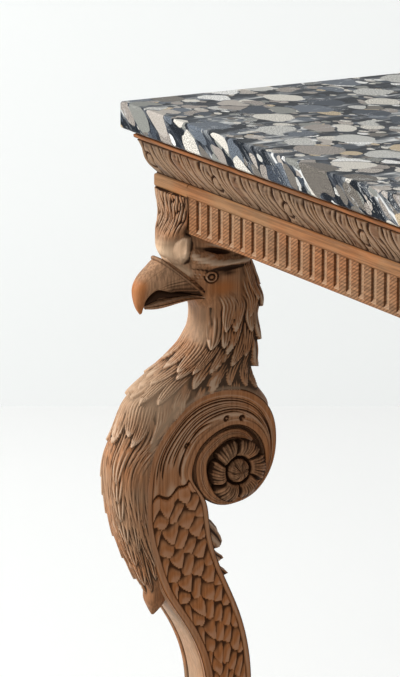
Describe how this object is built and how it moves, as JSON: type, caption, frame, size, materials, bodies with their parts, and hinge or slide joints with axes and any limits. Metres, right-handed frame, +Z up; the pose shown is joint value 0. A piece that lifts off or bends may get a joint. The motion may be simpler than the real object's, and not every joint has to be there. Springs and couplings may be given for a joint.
{
  "type": "pier table",
  "caption": "Carved pine pier table: eagle-headed scroll legs in front, plain tapered legs behind, fluted frieze, leaf cornice and a polished pebble-stone top.",
  "frame": {"origin": "on the floor, under the middle of the bounding box", "axes": "+X to the right seen from the front, +Y to the back (the wall side), +Z up"},
  "size_m": [1.28, 0.655, 0.87],
  "materials": {
    "pebble_stone": "polished pebble conglomerate, dark matrix with cream, ochre and grey pebbles",
    "carved_pine": "stripped and waxed pine, carved",
    "frieze_pine": "stripped and waxed pine with hatched lands",
    "cornice_pine": "stripped and waxed pine, carved with leaves",
    "band_pine": "stripped and waxed pine, plain",
    "inner_pine": "plain pine, unfinished",
    "peg_oak": "oak pegs and dowels",
    "screw_steel": "old blackened steel screws"
  },
  "bodies": {
    "root": {"back_left_block": "inner_pine", "back_rail": "inner_pine", "back_right_block": "inner_pine", "block_screws": "screw_steel", "cornice_screws": "screw_steel", "front_band": "band_pine", "front_cornice": "cornice_pine", "front_left_block": "inner_pine", "front_rail": "frieze_pine", "front_right_block": "inner_pine", "left_back_leaf": "carved_pine", "left_band": "band_pine", "left_bearer": "inner_pine", "left_breast": "carved_pine", "left_cornice": "cornice_pine", "left_eagle_head": "carved_pine", "left_inner_foot_rosette": "carved_pine", "left_inner_rosette": "carved_pine", "left_outer_foot_rosette": "carved_pine", "left_outer_rosette": "carved_pine", "left_plinth": "carved_pine", "left_rail": "frieze_pine", "left_rear_leg": "carved_pine", "left_rear_plinth": "carved_pine", "left_scroll_leg": "carved_pine", "left_stile": "band_pine", "leg_dowels": "peg_oak", "rail_pegs": "peg_oak", "right_back_leaf": "carved_pine", "right_band": "band_pine", "right_bearer": "inner_pine", "right_breast": "carved_pine", "right_cornice": "cornice_pine", "right_eagle_head": "carved_pine", "right_inner_foot_rosette": "carved_pine", "right_inner_rosette": "carved_pine", "right_outer_foot_rosette": "carved_pine", "right_outer_rosette": "carved_pine", "right_plinth": "carved_pine", "right_rail": "frieze_pine", "right_rear_leg": "carved_pine", "right_rear_plinth": "carved_pine", "right_scroll_leg": "carved_pine", "right_stile": "band_pine", "stone_top": "pebble_stone"}
  },
  "joints": []
}
